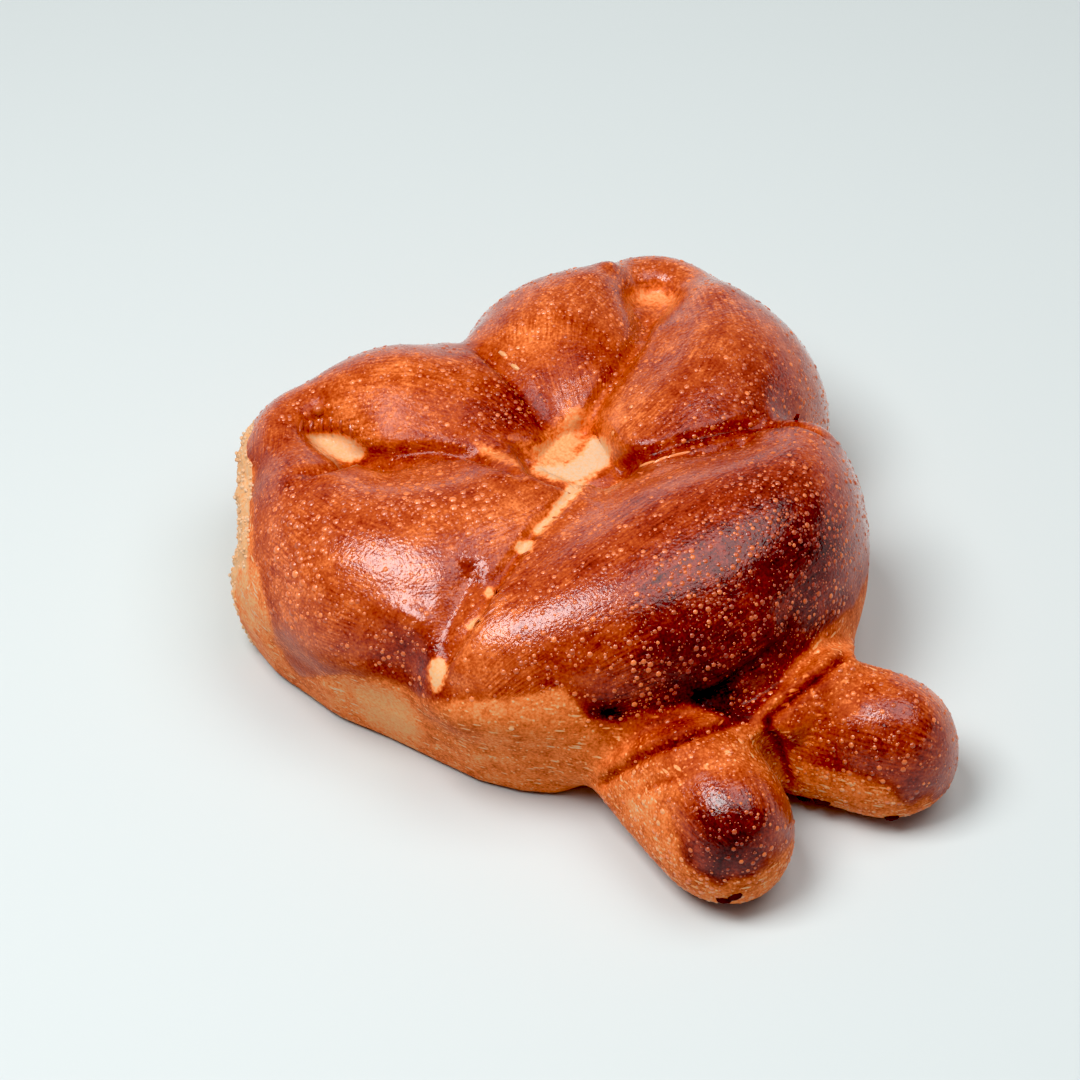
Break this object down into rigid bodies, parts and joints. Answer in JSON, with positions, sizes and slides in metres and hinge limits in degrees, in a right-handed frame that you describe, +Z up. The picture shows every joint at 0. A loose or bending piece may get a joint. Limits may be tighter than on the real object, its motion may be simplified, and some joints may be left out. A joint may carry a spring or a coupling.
{
  "type": "knotted heart-shaped sweet bun",
  "caption": "Knotted sweet bun baked to a heart shape, with a glossy egg-washed crust, rope ends sticking out as feet at its point, and a flat sole.",
  "frame": {"origin": "under the middle of the bun's outline, on the plane of its sole", "axes": "+Z up from the sole, +Y along the heart's axis from the feet at its point towards its cleft, +X towards the right lobe"},
  "size_m": [0.1284, 0.1442, 0.0493],
  "materials": {
    "crust": null
  },
  "bodies": {
    "root": {"bun": "crust"}
  },
  "joints": []
}
